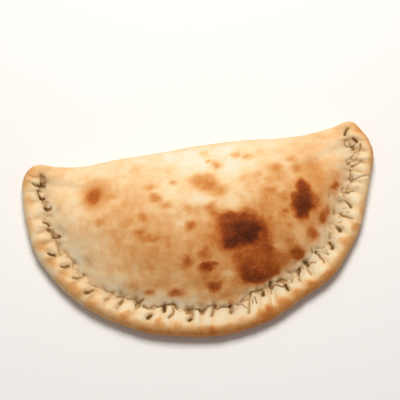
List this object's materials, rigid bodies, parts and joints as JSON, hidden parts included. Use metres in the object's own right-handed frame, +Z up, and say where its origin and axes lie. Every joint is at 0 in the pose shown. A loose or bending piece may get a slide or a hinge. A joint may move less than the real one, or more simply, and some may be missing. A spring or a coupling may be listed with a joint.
{
  "type": "calzone",
  "caption": "Baked calzone: half moon of pizza dough with a domed top, a plain folded back edge, a rolled and pleated front rim and a flat underside.",
  "frame": {"origin": "middle of the flat underside's bounding box, on the surface that the calzone lies on", "axes": "+X along the folded back edge, +Y from the pleated front to the fold, +Z up"},
  "size_m": [0.284, 0.16, 0.045],
  "materials": {
    "baked_crust": "matt baked dough, pale cream to golden, with darker oven spots"
  },
  "bodies": {
    "root": {"calzone": "baked_crust"}
  },
  "joints": []
}
